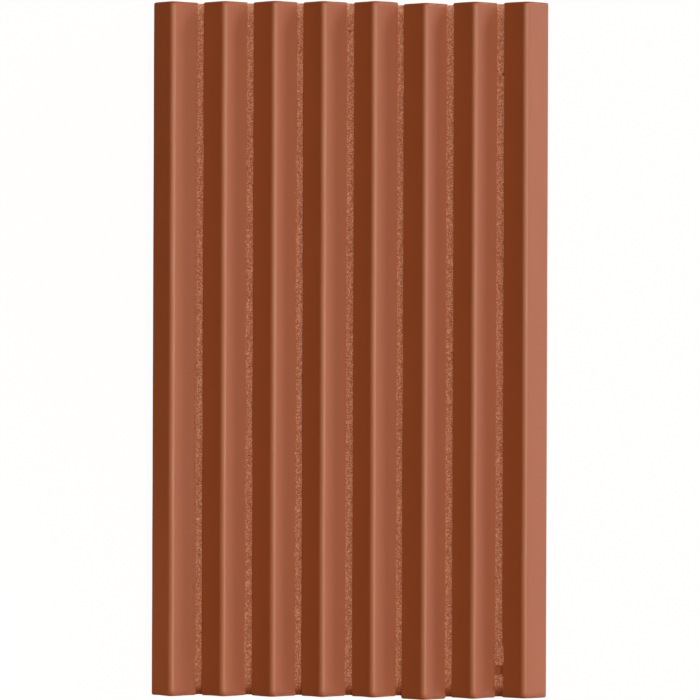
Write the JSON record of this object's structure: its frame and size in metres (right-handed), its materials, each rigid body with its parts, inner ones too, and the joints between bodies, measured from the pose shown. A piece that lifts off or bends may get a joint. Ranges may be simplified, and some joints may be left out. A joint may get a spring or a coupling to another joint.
{
  "type": "ribbed porcelain tile",
  "caption": "Wall tile sheet of long peaked porcelain strips set side by side with sanded grout joints between them, and a flat keyed back for bonding to a wall.",
  "frame": {"origin": "middle of the back, on the plane that the tile lies on", "axes": "+X across the strips, +Y along the strips, +Z out of the back through the ridges"},
  "size_m": [0.1794, 0.317, 0.0114],
  "materials": {
    "porcelain": "satin matt terracotta",
    "grout": "rough sanded cement in the same terracotta"
  },
  "bodies": {
    "root": {"porcelain_strip_1": "porcelain", "porcelain_strip_2": "porcelain", "porcelain_strip_3": "porcelain", "porcelain_strip_4": "porcelain", "porcelain_strip_5": "porcelain", "porcelain_strip_6": "porcelain", "porcelain_strip_7": "porcelain", "porcelain_strip_8": "porcelain", "grout_joint_1": "grout", "grout_joint_2": "grout", "grout_joint_3": "grout", "grout_joint_4": "grout", "grout_joint_5": "grout", "grout_joint_6": "grout", "grout_joint_7": "grout"}
  },
  "joints": []
}
